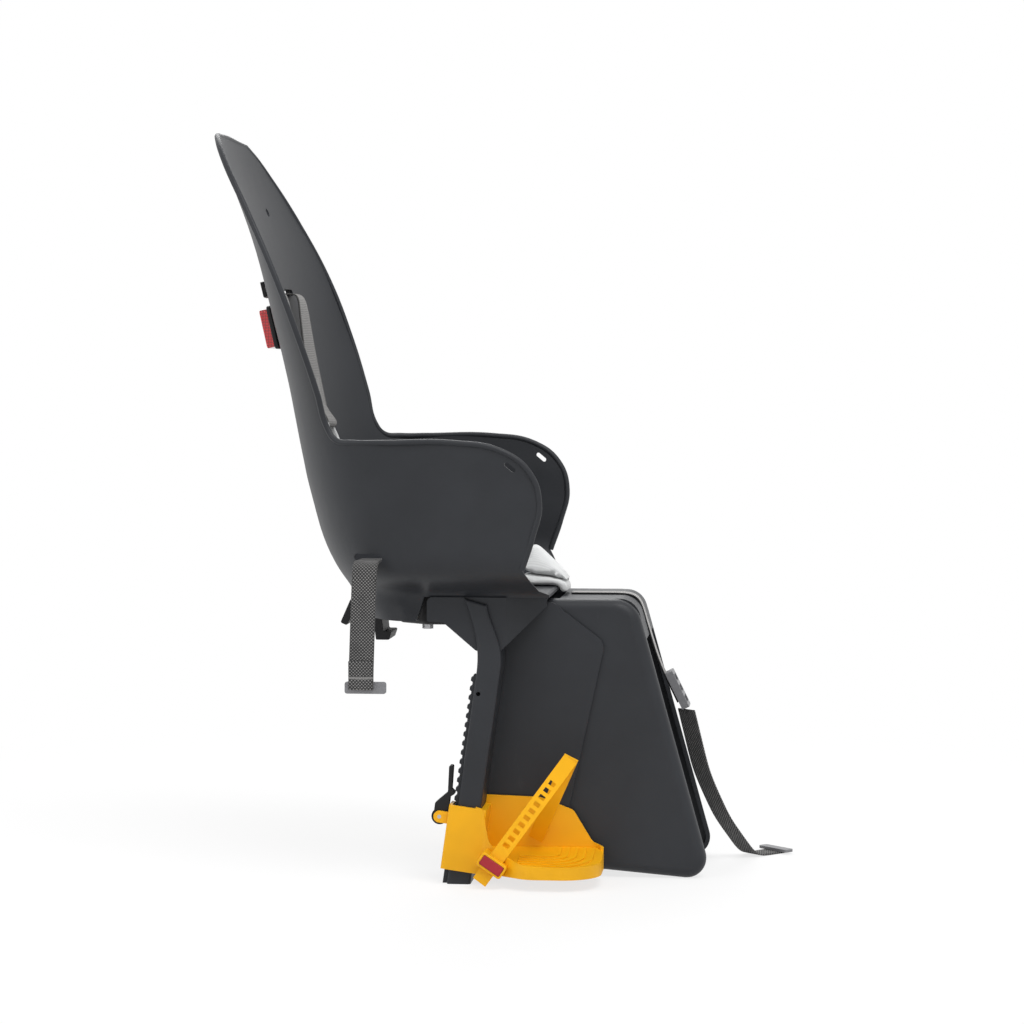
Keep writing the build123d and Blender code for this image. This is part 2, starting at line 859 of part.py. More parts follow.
# Lever that drops its tooth into the rack
with BuildPart() as right_latch_lever:
    lever_outline = rounded_outline(
        slide_plane(rack_in),
        (lever_pivot_u - 6.5, lever_pivot_v, 0),
        (lever_pivot_u - 6.5, lever_pivot_v + 13, 1.5),
        (lever_pivot_u + 5, lever_pivot_v + 26, 3),
        (lever_pivot_u + 2.5, lever_pivot_v + 53, 1.4),
        (lever_pivot_u + 6.5, lever_pivot_v + 53, 1.4),
        (lever_pivot_u + 8.2, lever_pivot_v + 29, 0),
        (rack_edge - 0.7, tooth_rest + 1.0, 0),
        (rack_edge - 0.7, tooth_rest - 1.0, 0),
        (lever_pivot_u + 7.6, tooth_rest - 4.5, 0),
        (lever_pivot_u + 7.6, lever_pivot_v, 0),
    )
    extrude(lever_outline, amount=lever_width)
    with BuildSketch(slide_plane(rack_in)):
        with Locations((lever_pivot_u, lever_pivot_v)):
            Circle(lever_hub)
            Circle(lever_pin_diameter / 2 + pin_clearance, mode=Mode.SUBTRACT)
    extrude(amount=lever_width)
    with BuildSketch(slide_plane(0)):
        with Locations((lever_pivot_u, lever_pivot_v)):
            Circle(lever_pin_diameter / 2 + pin_clearance)
    extrude(amount=200, mode=Mode.SUBTRACT)

with BuildPart() as right_lever_pin:
    with BuildSketch(slide_plane(rack_in - ear_gap - ear_thickness)):
        with Locations((lever_pivot_u, lever_pivot_v)):
            Circle(lever_pin_diameter / 2)
    extrude(amount=lever_width + 2 * (ear_gap + ear_thickness))

# Foot strap: a perforated band from the clasp over the foot and down to the inner wall
def band_section(point, run, side):
    """Rectangle of the band's section at one point, square to its run."""
    with BuildSketch(Plane(point, x_dir=side, z_dir=run)) as section:
        Rectangle(foot_strap_width, foot_strap_thickness)
    return section.sketch


inner_foot = Vector(37, -tray_inner - tray_wall - 2.5, tray_floor_inner + 8)
inner_run = (inner_foot - strap_top).normalized()
inner_side = (strap_side - inner_run * strap_side.dot(inner_run)).normalized()
inner_top = strap_top - inner_run * foot_strap_thickness
with BuildPart() as right_foot_strap:
    with BuildSketch(strap_plane):
        with Locations((0, -foot_strap_tail)):
            Rectangle(
                foot_strap_width,
                foot_strap_tail + (strap_top - strap_foot).length,
                align=(Align.CENTER, Align.MIN),
            )
        with Locations([(0, ladder_start + i * ladder_pitch) for i in range(ladder_holes)]):
            Rectangle(ladder_hole * 1.5, ladder_hole, mode=Mode.SUBTRACT)
    extrude(amount=foot_strap_thickness / 2, both=True)
    extrude(
        band_section(inner_top, inner_run, inner_side), amount=(inner_foot - inner_top).length
    )

# Reflector on the back
reflector_rise = reflector_height / 2
reflector_lean = atan2(
    back_outside(reflector_z - reflector_rise, 0) - back_outside(reflector_z + reflector_rise, 0),
    reflector_height,
)
reflector_plane = Plane(
    (back_outside(reflector_z, 0) - reflector_gap, 0, reflector_z),
    x_dir=(0, -1, 0),
    z_dir=(-cos(reflector_lean), 0, -sin(reflector_lean)),
)
with BuildPart() as reflector_housing:
    with BuildSketch(reflector_plane):
        RectangleRounded(reflector_width, reflector_height, 6)
    extrude(amount=reflector_depth)
    fillet(faces().sort_by(Axis.X)[0].edges(), 1.5)
    with BuildSketch(reflector_plane.offset(reflector_depth - lens_seat)):
        RectangleRounded(lens_width + 2 * soft_gap, lens_height + 2 * soft_gap, 4)
    extrude(amount=2 * lens_seat, mode=Mode.SUBTRACT)

with BuildPart() as reflector_lens:
    with BuildSketch(reflector_plane.offset(reflector_depth - lens_seat)):
        RectangleRounded(lens_width, lens_height, 3.6)
    extrude(amount=lens_depth)
    fillet(faces().sort_by(Axis.X)[0].edges(), 1.2)


# Harness
def ribbon(plane, points, radius):
    """Edge view of a strap that follows points, as a closed face."""
    with BuildSketch(plane) as strip:
        with BuildLine():
            FilletPolyline(*points, radius=radius)
            offset(amount=strap_thickness, side=Side.LEFT)
        make_face()
    return strip.sketch


slot_inside = back_inside(shoulder_slot_height, shoulder_y)
slot_outside = back_outside(shoulder_slot_height, shoulder_y)
ring_x = back_inside(ring_z, shoulder_y) + ring_standoff
strap_middle = (shoulder_slot_height + ring_z) / 2 + 10
with BuildPart() as right_shoulder_strap:
    slot_sill = shoulder_slot_height - slot_height / 2 + 3 * soft_gap
    shoulder_route = [
        (slot_outside - 3, slot_sill),
        (slot_inside + 11, slot_sill),
        (slot_inside + 15, shoulder_slot_height - 15),
        (back_inside(strap_middle, shoulder_y) + 7, strap_middle),
        (ring_x - ring_bar / 2 - 2 * soft_gap - strap_thickness, ring_z - 1),
    ]
    strip = ribbon(side_plane(shoulder_y), shoulder_route, [4, 8, 40])
    extrude(strip, amount=strap_width / 2, both=True)

ring_plane = Plane(
    (ring_x, -shoulder_y, ring_z),
    x_dir=(0, 1, 0),
    z_dir=(cos(radians(ring_lean)), 0, sin(radians(ring_lean))),
)
with BuildPart() as right_strap_ring:
    with BuildSketch(ring_plane):
        with Locations((0, (ring_bar - ring_height) / 2)):
            RectangleRounded(ring_width, ring_height, 11)
            RectangleRounded(
                ring_width - 2 * ring_bar, ring_height - 2 * ring_bar, 6, mode=Mode.SUBTRACT
            )
    extrude(amount=ring_bar / 2, both=True)
    fillet(faces().filter_by(Axis(ring_plane.origin, ring_plane.z_dir)).edges(), 1.4)

anchor_rise = 15
anchor_lean = atan2(
    back_outside(shoulder_slot_height - anchor_rise, shoulder_y)
    - back_outside(shoulder_slot_height + anchor_rise, shoulder_y),
    2 * anchor_rise,
)
anchor_turn = (slot_outside - back_outside(shoulder_slot_height, 0)) / shoulder_y * 2
anchor_side = Vector(anchor_turn, -1, 0).normalized()
anchor_rest = Vector(-sin(anchor_lean), 0, cos(anchor_lean))
anchor_plane = Plane(
    (slot_outside - anchor_gap, -shoulder_y, shoulder_slot_height),
    x_dir=anchor_side,
    z_dir=anchor_side.cross(anchor_rest),
)
with BuildPart() as right_shoulder_anchor:
    with BuildSketch(anchor_plane):
        RectangleRounded(slot_width + 9, 2.3 * slot_height, 3)
        Rectangle(slot_width - 3, slot_height - 1, mode=Mode.SUBTRACT)
    extrude(amount=anchor_bar)

waist_plane = Plane.YZ.offset(waist_slot_x)
waist_sill = waist_slot_height - waist_slot_depth / 2 + 1.5 * soft_gap + strap_thickness
pan_rest = pan_top + soft_gap + strap_thickness
with BuildPart() as right_waist_strap:
    waist_route = [
        (-waist_inside, waist_sill),
        (-waist_outside, waist_sill),
        (-half_seat - 3, waist_slot_height - 9),
        (-half_seat - 1, waist_end),
    ]
    strip = ribbon(waist_plane, waist_route, [8, 6])
    extrude(strip, amount=strap_width / 2, both=True)

with BuildPart() as right_waist_end_plate:
    with BuildSketch(side_plane(half_seat - plate_thickness - 1)):
        with Locations((waist_slot_x, waist_end)):
            RectangleRounded(plate_width, plate_height, 2.5)
    extrude(amount=plate_thickness)

with BuildPart() as left_waist_strap:
    lap_route = [
        (waist_outside, waist_sill),
        (waist_outside - 25, waist_sill),
        (waist_outside - 61, waist_sill - 11.5),
        (half_seat - lap_run + 50, pan_rest + 1.6),
        (half_seat - lap_run + 38, pan_rest),
        (half_seat - lap_run, pan_rest),
    ]
    strip = ribbon(waist_plane, lap_route, [20, 30, 20, 20])
    extrude(strip, amount=strap_width / 2, both=True)

with BuildPart() as left_waist_end_plate:
    with BuildSketch(Plane.XY.offset(pan_rest + soft_gap)):
        with Locations((waist_slot_x, half_seat - lap_run + plate_height / 2)):
            RectangleRounded(plate_width, plate_height, 2.5)
    extrude(amount=plate_thickness)

with BuildPart() as crotch_pad:
    pad_outline = rounded_outline(
        Plane.XZ,
        (pan_front - 38, pan_top + soft_gap, 0),
        (pan_front - 33, pan_top + 33, 3),
        (pan_front - 26, pan_top + 42, 4),
        (pan_front - 18, pan_top + 36, 4),
        (pan_front + 10, pan_top + 3, 6),
        (pan_front + 13, guard_top + soft_gap, 2),
        (pan_front + soft_gap, guard_top + soft_gap, 0),
        (pan_front + soft_gap, pan_top + soft_gap, 0),
    )
    extrude(pad_outline, amount=crotch_pad_width / 2, both=True)

buckle_plane = Plane(
    (buckle_x, 0, buckle_z),
    x_dir=(0, 1, 0),
    z_dir=(cos(radians(buckle_lean)), 0, sin(radians(buckle_lean))),
)
strap_under = buckle_plane.offset(-soft_gap - strap_thickness)
with BuildPart() as crotch_strap:
    behind_buckle = [strap_under.from_local_coords(Vector(0, rise, 0)) for rise in (30, -12)]
    crotch_route = [
        (pan_front + 14, guard_top + soft_gap),
        (nose_x + soft_gap, guard_top + soft_gap),
        (nose_foot_x + 1, nose_foot_z),
        *[(point.X, point.Z) for point in behind_buckle],
    ]
    strip = ribbon(Plane.XZ, crotch_route, [21, 60, 10])
    extrude(strip, amount=strap_width / 2, both=True)

with BuildPart() as strap_buckle:
    with BuildSketch(buckle_plane):
        RectangleRounded(buckle_width, buckle_length, 3)
        with Locations([(0, y * buckle_length / 3.4) for y in (-1, 0, 1)]):
            Rectangle(strap_width + 1.5, buckle_length / 6, mode=Mode.SUBTRACT)
    extrude(amount=buckle_thickness)

tail_plane = Plane(
    (buckle_x + 12, 0, 0),
    x_dir=(cos(radians(tail_turn)), sin(radians(tail_turn)), 0),
    z_dir=(sin(radians(tail_turn)), -cos(radians(tail_turn)), 0),
)
with BuildPart() as strap_tail:
    buckle_foot = buckle_plane.from_local_coords(Vector(0, -buckle_length / 2, 0))
    tail_route = [
        (0, buckle_foot.Z - 3 * soft_gap),
        (22, 99),
        (52, 47),
        (88, 6),
        (100, soft_gap),
        (tail_reach + 2, soft_gap),
    ]
    strip = ribbon(tail_plane, tail_route, [70, 60, 30, 20])
    extrude(strip, amount=strap_width / 2, both=True)

tip_plane = Plane(
    tail_plane.from_local_coords(Vector(tail_reach, strap_thickness + 2 * soft_gap, 0)),
    x_dir=tail_plane.z_dir,
    z_dir=tail_plane.y_dir,
)
with BuildPart() as tail_end_plate:
    with BuildSketch(tip_plane):
        RectangleRounded(plate_width, plate_height, 2.5)
    extrude(amount=plate_thickness)

pieces = {
    "seat_shell": seat_shell,
    "mounting_base": mounting_base,
    "mount_latch": mount_latch,
    "latch_pin": latch_pin,
    "base_screws": base_screws,
    "guard_screws": guard_screws,
    "reflector_housing": reflector_housing,
    "reflector_lens": reflector_lens,
    "crotch_pad": crotch_pad,
    "crotch_strap": crotch_strap,
    "strap_buckle": strap_buckle,
    "strap_tail": strap_tail,
    "tail_end_plate": tail_end_plate,
    "right_waist_strap": right_waist_strap,
    "left_waist_strap": left_waist_strap,
    "right_waist_end_plate": right_waist_end_plate,
    "left_waist_end_plate": left_waist_end_plate,
}
right_pieces = {
    "leg_guard": right_leg_guard,
    "footrest": right_footrest,
    "release_button": right_release_button,
    "latch_lever": right_latch_lever,
    "lever_pin": right_lever_pin,
    "foot_strap": right_foot_strap,
    "shoulder_strap": right_shoulder_strap,
    "strap_ring": right_strap_ring,
    "shoulder_anchor": right_shoulder_anchor,
}
for name, piece in right_pieces.items():
    with BuildPart() as left_piece:
        mirror(piece.part, about=Plane.XZ)
    pieces[f"right_{name}"] = piece
    pieces[f"left_{name}"] = left_piece

for name, piece in pieces.items():
    piece.part.label = name
    export_step(piece.part, f"parts/{name}.step")
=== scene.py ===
from math import cos, pi, radians, sin

import bmesh
import bpy
from mathutils import Matrix, Vector


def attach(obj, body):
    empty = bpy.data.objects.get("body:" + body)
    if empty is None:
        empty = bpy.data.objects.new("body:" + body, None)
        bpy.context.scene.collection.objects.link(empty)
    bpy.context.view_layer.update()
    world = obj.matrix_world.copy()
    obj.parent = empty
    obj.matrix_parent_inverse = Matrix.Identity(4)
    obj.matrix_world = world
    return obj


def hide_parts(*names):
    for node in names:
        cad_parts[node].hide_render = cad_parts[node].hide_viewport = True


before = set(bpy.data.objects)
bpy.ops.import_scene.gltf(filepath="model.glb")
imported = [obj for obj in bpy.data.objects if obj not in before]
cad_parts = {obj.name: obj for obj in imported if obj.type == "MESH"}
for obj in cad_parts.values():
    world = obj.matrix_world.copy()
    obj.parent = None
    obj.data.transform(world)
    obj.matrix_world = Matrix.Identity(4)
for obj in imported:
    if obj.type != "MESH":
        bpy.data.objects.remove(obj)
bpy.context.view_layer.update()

bl_info = {
    "name": "Child bike seat",
    "version": (1, 0, 0),
    "blender": (4, 5, 0),
    "location": "View3D > Sidebar > Child seat",
    "description": "Dresses the packed child bike seat with webbing, pad, finishes and a stage",
    "category": "Object",
}

MM = 0.001
WHITE = (1, 1, 1, 1)
SIDES = (("right", -1), ("left", 1))

# Faces of the mouldings that the crotch pad lies on, and the lowest place for its flap.
PAN_TOP = 297.6 * MM
PAN_FRONT = 54.5 * MM
DECK_TOP = 288.7 * MM
FLAP_LOW = 300 * MM

# The pad's cloth is evened out in cells, then pressed from inside over a number of frames.
PAD_CELL = 4 * MM
PAD_PRESSURE = 4
PAD_FRAMES = 20

# The floor is a share of white to the camera near the seat, and all white further off.
FLOOR_HALF = 7
FLOOR_SHARE = 0.74
FLOOR_NEAR = 0.3
FLOOR_FAR = 1.15
WORLD_STRENGTH = 0.6

# Lamps by name, place, the point that they face, size and power.
LAMPS = (
    ("key", (1.1, -1.5, 3.1), (0, 0, 0.35), 1.8, 66),
    ("fill", (-2.2, -1.4, 1.6), (0, 0, 0.4), 1.8, 18),
    ("back", (-0.6, 2.2, 2.3), (0, 0, 0.4), 1.6, 40),
)
CAMERA_PLACE = (0.297, -2.947, 0.518)
CAMERA_DIRECTION = (-0.0996, 1, -0.0489)
CAMERA_LENS = 98.4
CAMERA_SENSOR = 36
CAMERA_REACH = 50


class Value:
    """A shader socket that takes part in Python arithmetic."""

    def __init__(self, finish, socket):
        self.finish = finish
        self.socket = socket

    def math(self, operation, *others):
        return self.finish.node("Math", {"operation": operation}, (self, *others))

    def __add__(self, other):
        return self.math("ADD", other)

    def __sub__(self, other):
        return self.math("SUBTRACT", other)

    def __rsub__(self, other):
        return self.finish.node("Math", {"operation": "SUBTRACT"}, (other, self))

    def __mul__(self, other):
        return self.math("MULTIPLY", other)

    def __truediv__(self, other):
        return self.math("DIVIDE", other)

    __radd__ = __add__
    __rmul__ = __mul__

    def beside(self, output):
        """Another output of the same node."""
        return Value(self.finish, self.socket.node.outputs[output])

    def fraction(self):
        return self.math("FRACT")

    def wave(self):
        """Zero to one and back over each whole step of the value."""
        return (self * (2 * pi)).math("SINE") * 0.5 + 0.5

    def between(self, low, high):
        """Smooth step from zero at low to one at high."""
        settings = {"interpolation_type": "SMOOTHSTEP"}
        return self.finish.node("MapRange", settings, (self, low, high, 0.0, 1.0))


class Finish:
    """The nodes of a material or a world, built up by expressions."""

    def __init__(self, name, kind="materials"):
        self.owner = getattr(bpy.data, kind).new(name)
        self.owner.use_nodes = True
        self.tree = self.owner.node_tree
        self.shader = next(node for node in self.tree.nodes if node.outputs)
        self.output = next(node for node in self.tree.nodes if not node.outputs)

    def node(self, kind, settings=None, inputs=(), output=0):
        """Add a node, set it up, feed its sockets and give back one output."""
        node = self.tree.nodes.new("ShaderNode" + kind)
        for key, setting in (settings or {}).items():
            setattr(node, key, setting)
        pairs = inputs.items() if isinstance(inputs, dict) else enumerate(inputs)
        for key, source in pairs:
            self.feed(node.inputs[key], source)
        return Value(self, node.outputs[output])

    def feed(self, socket, source):
        if isinstance(source, Value):
            self.tree.links.new(source.socket, socket)
        else:
            socket.default_value = source

    def set(self, **sockets):
        """Feed the shader's own sockets, named with underscores for spaces."""
        for name, source in sockets.items():
            self.feed(self.shader.inputs[name.replace("_", " ")], source)
        return self

    def cover(self, factor, shader):
        """Show another shader over the own one, by a factor."""
        sockets = {0: factor, 1: Value(self, self.shader.outputs[0]), 2: shader}
        self.feed(self.output.inputs["Surface"], self.node("MixShader", None, sockets))
        return self

    def seen(self):
        """One for rays that show a surface or its mirror image, zero for those that it lights."""
        camera = self.node("LightPath", output="Is Camera Ray")
        mirrored = camera.beside("Is Glossy Ray") + camera.beside("Is Transmission Ray")
        return (camera + mirrored).math("MINIMUM", 1.0)

    def mix(self, factor, first, second):
        """Blend two colours."""
        sockets = {0: factor, 6: rgba(first), 7: rgba(second)}
        return self.node("Mix", {"data_type": "RGBA"}, sockets, output=2)

    def place(self):
        return self.node("TexCoord", output="Object")

    def noise(self, scale, detail=2.0, roughness=0.5, stretch=(1, 1, 1)):
        """Noise over the object, with a scale in cells to the metre."""
        at = self.node("Mapping", None, {"Vector": self.place(), "Scale": stretch})
        sockets = {"Vector": at, "Scale": scale, "Detail": detail, "Roughness": roughness}
        return self.node("TexNoise", None, sockets, output="Fac")

    def bump(self, height, depth):
        """Relief of a height from zero to one, depth in metres."""
        return self.node("Bump", None, {"Height": height, "Distance": depth, "Strength": 1.0})

    def weave(self):
        """Distances in metres across and along a strap, from its UV map."""
        across = self.node("SeparateXYZ", None, (self.node("UVMap", {"uv_map": "weave"}),))
        return across, across.beside("Y")


def rgba(colour):
    """A colour socket's value from a wrapped socket or a colour property."""
    return colour if isinstance(colour, Value) else (*colour[:3], 1.0)


def shade(colour, share):
    """The same colour, lighter or darker by a share."""
    return tuple(channel * share for channel in colour[:3])


class SeatColours(bpy.types.PropertyGroup):
    """Colours of the seat's pieces"""

    shell: bpy.props.FloatVectorProperty(
        name="Shell", description="Moulded bucket and leg guards", subtype="COLOR",
        default=(0.025, 0.0268, 0.0308), min=0, max=1,
    )
    black: bpy.props.FloatVectorProperty(
        name="Black", description="Base, latch, levers and reflector housing", subtype="COLOR",
        default=(0.012, 0.012, 0.013), min=0, max=1,
    )
    steel: bpy.props.FloatVectorProperty(
        name="Steel", description="Pins, screws and nuts", subtype="COLOR",
        default=(0.55, 0.55, 0.56), min=0, max=1,
    )
    footrest: bpy.props.FloatVectorProperty(
        name="Footrest", description="Footrests and their straps", subtype="COLOR",
        default=(0.82, 0.405, 0.006), min=0, max=1,
    )
    button: bpy.props.FloatVectorProperty(
        name="Button", description="Strap release buttons", subtype="COLOR",
        default=(0.36, 0.025, 0.035), min=0, max=1,
    )
    lens: bpy.props.FloatVectorProperty(
        name="Lens", description="Rear reflector", subtype="COLOR",
        default=(0.72, 0.008, 0.012), min=0, max=1,
    )
    light_webbing: bpy.props.FloatVectorProperty(
        name="Light webbing", description="Shoulder and front straps", subtype="COLOR",
        default=(0.24, 0.235, 0.23), min=0, max=1,
    )
    dark_webbing: bpy.props.FloatVectorProperty(
        name="Dark webbing", description="Waist straps and loose strap", subtype="COLOR",
        default=(0.025, 0.025, 0.026), min=0, max=1,
    )
    webbing_edge: bpy.props.FloatVectorProperty(
        name="Webbing edge", description="Bound edges of the front strap", subtype="COLOR",
        default=(0.02, 0.02, 0.021), min=0, max=1,
    )
    pad: bpy.props.FloatVectorProperty(
        name="Pad", description="Crotch pad cloth", subtype="COLOR",
        default=(0.8, 0.81, 0.81), min=0, max=1,
    )
    fitting: bpy.props.FloatVectorProperty(
        name="Fitting", description="Buckle and end plates", subtype="COLOR",
        default=(0.2, 0.2, 0.21), min=0, max=1,
    )
    ring: bpy.props.FloatVectorProperty(
        name="Ring", description="Strap rings", subtype="COLOR",
        default=(0.62, 0.63, 0.63), min=0, max=1,
    )
    floor: bpy.props.FloatVectorProperty(
        name="Floor", description="Floor under the seat", subtype="COLOR",
        default=(0.86, 0.86, 0.86), min=0, max=1,
    )


class SeatSizes(bpy.types.PropertyGroup):
    """Sizes of the seat's soft pieces and its bead"""

    webbing_width: bpy.props.FloatProperty(
        name="Webbing width", description="Width of every harness strap", unit="LENGTH",
        default=25 * MM, min=5 * MM, max=60 * MM,
    )
    webbing_thickness: bpy.props.FloatProperty(
        name="Webbing thickness", description="Thickness of one layer of webbing",
        unit="LENGTH", default=1.6 * MM, min=0.5 * MM, max=4 * MM,
    )
    webbing_pitch: bpy.props.FloatProperty(
        name="Weave pitch", description="Distance between the weave's dots", unit="LENGTH",
        default=3.4 * MM, min=0.5 * MM, max=5 * MM,
    )
    rib_pitch: bpy.props.FloatProperty(
        name="Rib pitch", description="Distance between the ribs across light webbing",
        unit="LENGTH", default=1.9 * MM, min=0.5 * MM, max=5 * MM,
    )
    pad_width: bpy.props.FloatProperty(
        name="Pad width", description="Width of the crotch pad", unit="LENGTH",
        default=54 * MM, min=20 * MM, max=90 * MM,
    )
    pad_swell: bpy.props.FloatProperty(
        name="Pad swell", description="Furthest the pad's cloth may swell", unit="LENGTH",
        default=1.8 * MM, min=0, max=10 * MM,
    )
    bead_radius: bpy.props.FloatProperty(
        name="Bead radius", description="Radius of the rolled bead round the bucket's rim",
        unit="LENGTH", default=3.1 * MM, min=1 * MM, max=8 * MM,
    )


def colours():
    return bpy.context.scene.seat_colours


def sizes():
    return bpy.context.scene.seat_sizes


def moulded(name, colour, gloss, grain, relief, scuffs=0.0):
    """Moulded plastic: fine grain, a slow change of tone and a few pale rubs."""
    finish = Finish(name)
    slow = finish.noise(9, detail=3, roughness=0.6)
    tone = finish.mix(slow.between(0.25, 0.75), shade(colour, 0.88), shade(colour, 1.12))
    streaks = finish.noise(34, detail=6, roughness=0.72, stretch=(1, 1, 0.22))
    rubs = streaks.between(0.64, 0.74) * scuffs
    tone = finish.mix(rubs, tone, shade(colour, 2.0))
    fine = finish.noise(grain, detail=2, roughness=0.6)
    height = fine * 0.7 + finish.noise(grain / 4) * 0.3
    rough = slow * 0.12 + fine * 0.1 + (gloss - 0.11) + rubs * 0.15
    return finish.set(
        Base_Color=tone, Roughness=rough, Specular_IOR_Level=0.24,
        Normal=finish.bump(height, relief),
    ).owner


def plated(name, colour):
    """Zinc-plated steel with fine turning marks."""
    finish = Finish(name)
    marks = finish.noise(900, detail=2, roughness=0.6, stretch=(1, 1, 8))
    tone = finish.mix(finish.noise(120, detail=3), shade(colour, 0.8), colour)
    return finish.set(
        Base_Color=tone, Metallic=1.0, Roughness=marks * 0.2 + 0.25,
        Normal=finish.bump(marks, 0.04 * MM),
    ).owner


def prism_lens(name, colour):
    """Red reflector lens with rows of small moulded prisms."""
    finish = Finish(name)
    sockets = {"Vector": finish.place(), "Scale": 330.0, "Randomness": 0.0}
    prism = finish.node("TexVoronoi", {"feature": "F1"}, sockets) * 1.6
    tone = finish.mix(prism, shade(colour, 1.25), shade(colour, 0.45))
    return finish.set(
        Base_Color=tone, Roughness=prism * 0.1 + 0.08, Coat_Weight=0.6,
        Normal=finish.bump(prism, 0.4 * MM),
    ).owner


def ribbed_webbing(name, colour, edge):
    """Light webbing: ribs across its length, fine threads and bound edges."""
    finish = Finish(name)
    across, along = finish.weave()
    width = sizes().webbing_width
    thread = width / 30
    ribs = (along / sizes().rib_pitch).wave()
    threads = (across / thread).wave()
    near_edge = 1 - (across / width * 2 - 1).math("ABSOLUTE")
    bound = 1 - near_edge.between(0.09, 0.15)
    tone = finish.mix(ribs * 0.75 + threads * 0.25, shade(colour, 0.62), shade(colour, 1.28))
    worn = finish.noise(70, detail=3).between(0.4, 0.8) * 0.3
    tone = finish.mix(worn, tone, shade(colour, 0.7))
    tone = finish.mix(bound, tone, edge)
    height = ribs * 0.7 + threads * 0.3
    return finish.set(
        Base_Color=tone, Roughness=0.82, Specular_IOR_Level=0.25, Sheen_Weight=0.15,
        Normal=finish.bump(height, 0.3 * MM),
    ).owner


def dotted_webbing(name, colour, dot, stitched):
    """Dark webbing with staggered pale dots, and a line of stitches near a sewn end."""
    finish = Finish(name)
    across, along = finish.weave()
    pitch = sizes().webbing_pitch
    row = along / (pitch / 2)
    shift = (row.math("FLOOR") * 0.5).fraction()
    left = (across / pitch + shift).fraction() - 0.5
    up = (row.fraction() - 0.5) * 0.62
    spread = (left * left + up * up).math("SQRT")
    dots = 1 - spread.between(0.16, 0.34)
    first, last, fade = 15.5 * MM, 18 * MM, 0.5 * MM
    stitches = along.between(first, first + fade) * (1 - along.between(last, last + fade))
    tone = finish.mix(dots, colour, dot)
    worn = finish.noise(60, detail=3).between(0.4, 0.8) * 0.35
    tone = finish.mix(worn, tone, shade(colour, 0.9))
    tone = finish.mix(stitches * stitched, tone, dot)
    return finish.set(
        Base_Color=tone, Roughness=0.85, Specular_IOR_Level=0.25, Sheen_Weight=0.1,
        Normal=finish.bump(dots, 0.3 * MM),
    ).owner


def padded_cloth(name, colour):
    """Soft cloth with a fine plain weave and faint wear."""
    finish = Finish(name)
    threads = 760
    x = finish.node("SeparateXYZ", None, (finish.place(),))
    over = ((x + x.beside("Z")) * threads).wave()
    under = (x.beside("Y") * threads).wave()
    weave = over * 0.5 + under * 0.5
    slow = finish.noise(40, detail=4, roughness=0.6)
    tone = finish.mix(weave * 0.5 + slow * 0.5, shade(colour, 0.8), shade(colour, 1.1))
    return finish.set(
        Base_Color=tone, Roughness=0.9, Specular_IOR_Level=0.2, Sheen_Weight=0.25,
        Normal=finish.bump(weave * 0.6 + slow * 0.4, 0.35 * MM),
    ).owner


def dress(material, *nodes):
    """Give one finish to CAD nodes."""
    for node in nodes:
        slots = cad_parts[node].data.materials
        slots.clear()
        slots.append(material)


def both(*names):
    """Names of the right and left nodes of each kind."""
    return [f"{side}_{name}" for name in names for side, _ in SIDES]


def mesh_of(shape, name):
    """The mesh of a finished bmesh, which is then freed."""
    mesh = bpy.data.meshes.new(name)
    shape.to_mesh(mesh)
    shape.free()
    return mesh


def settled(obj):
    """The mesh of an object with its modifiers or its bevel worked out."""
    graph = bpy.context.evaluated_depsgraph_get()
    return bpy.data.meshes.new_from_object(obj.evaluated_get(graph))


def placed(name, data):
    """An object in the scene that holds the data."""
    obj = bpy.data.objects.new(name, data)
    bpy.context.collection.objects.link(obj)
    return obj


def piece(name, mesh, material, body, slot, *nodes):
    """Make an object that rides a body and stands for CAD nodes."""
    obj = placed(name, mesh)
    mesh.materials.append(material)
    for face in mesh.polygons:
        face.use_smooth = True
    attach(obj, body)
    if nodes:
        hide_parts(*nodes)
    return obj


def webbing_mesh(name, path, across, width, twist):
    """A flat strap along a path, with distances in its UV map, turned by twist in its middle."""
    points = [Vector(point) * MM for point in path]
    half = Vector(across).normalized() * (width / 2)
    shape = bmesh.new()
    ends = [shape.verts.new(points[0] - half), shape.verts.new(points[0] + half)]
    edge = shape.edges.new(ends)
    place = {ends[0]: (0.0, 0.0), ends[1]: (width, 0.0)}
    travel = 0.0
    turned = 0.0
    for index, (before, after) in enumerate(zip(points, points[1:]), 1):
        travel += (after - before).length
        turn = twist * sin(pi * index / (len(points) - 1)) ** 2
        grown = bmesh.ops.extrude_edge_only(shape, edges=[edge])["geom"]
        fresh = [part for part in grown if isinstance(part, bmesh.types.BMVert)]
        edge = next(part for part in grown if isinstance(part, bmesh.types.BMEdge))
        bmesh.ops.translate(shape, verts=fresh, vec=after - before)
        bmesh.ops.rotate(
            shape, verts=fresh, cent=after, matrix=Matrix.Rotation(turn - turned, 3, "Z")
        )
        turned = turn
        for vert in fresh:
            place[vert] = (0.0 if (vert.co - after).dot(half) < 0 else width, travel)
    layer = shape.loops.layers.uv.new("weave")
    for face in shape.faces:
        for loop in face.loops:
            loop[layer].uv = place[loop.vert]
    return mesh_of(shape, name), travel


def strap(name, path, across, material, slot, node, twist=0.0):
    """A harness strap as a sheet in place of its CAD solid."""
    width = sizes().webbing_width
    mesh, length = webbing_mesh(name, path, across, width, twist)
    obj = piece(name, mesh, material, "seat", slot, node)
    curve = obj.modifiers.new("bends", "SUBSURF")
    curve.levels = curve.render_levels = 3
    curve.boundary_smooth = "PRESERVE_CORNERS"
    wall = obj.modifiers.new("layer", "SOLIDIFY")
    wall.thickness = sizes().webbing_thickness
    wall.offset = 0


